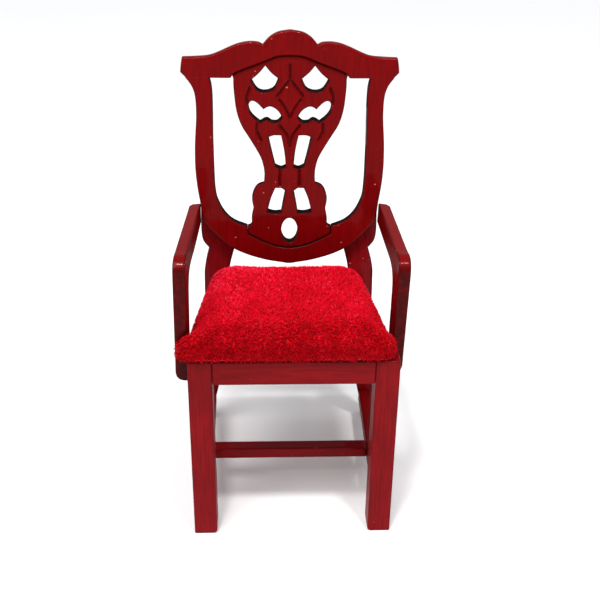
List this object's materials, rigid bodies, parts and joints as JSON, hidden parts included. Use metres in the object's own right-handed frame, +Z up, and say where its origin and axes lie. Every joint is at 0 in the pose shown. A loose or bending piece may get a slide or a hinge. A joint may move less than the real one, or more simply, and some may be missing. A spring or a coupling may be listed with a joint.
{
  "type": "miniature armchair",
  "caption": "Dolls house carver armchair with a pierced splat in a shield frame, serpentine crest, square legs joined by an H stretcher, and a plush padded seat.",
  "frame": {"origin": "on the surface that the chair stands on, at the middle of the footprint's depth and on the centre plane of the legs; the unequal arms put the middle of the whole box 0.08 mm to the left of that plane", "axes": "+X to the right of someone who faces the chair's front, +Y from the chair's front to its back, +Z up"},
  "size_m": [0.0458, 0.0472, 0.096],
  "materials": {
    "lacquered_wood": "deep red lacquer, satin gloss, over fine close-grained wood",
    "fibreboard": "bare brown fibreboard, matt",
    "foam": "pale open-cell foam, matt",
    "plush": "crimson short-pile plush, matt with a soft sheen"
  },
  "bodies": {
    "root": {"front_leg_left": "lacquered_wood", "front_leg_right": "lacquered_wood", "back_post_left": "lacquered_wood", "back_post_right": "lacquered_wood", "front_rail": "lacquered_wood", "back_rail": "lacquered_wood", "side_rail_left": "lacquered_wood", "side_rail_right": "lacquered_wood", "side_stretcher_left": "lacquered_wood", "side_stretcher_right": "lacquered_wood", "cross_stretcher": "lacquered_wood", "shield_frame": "lacquered_wood", "crest_rail": "lacquered_wood", "splat": "lacquered_wood", "arm_left": "lacquered_wood", "arm_right": "lacquered_wood", "seat_board": "fibreboard", "seat_foam": "foam", "seat_cover": "plush"}
  },
  "joints": []
}
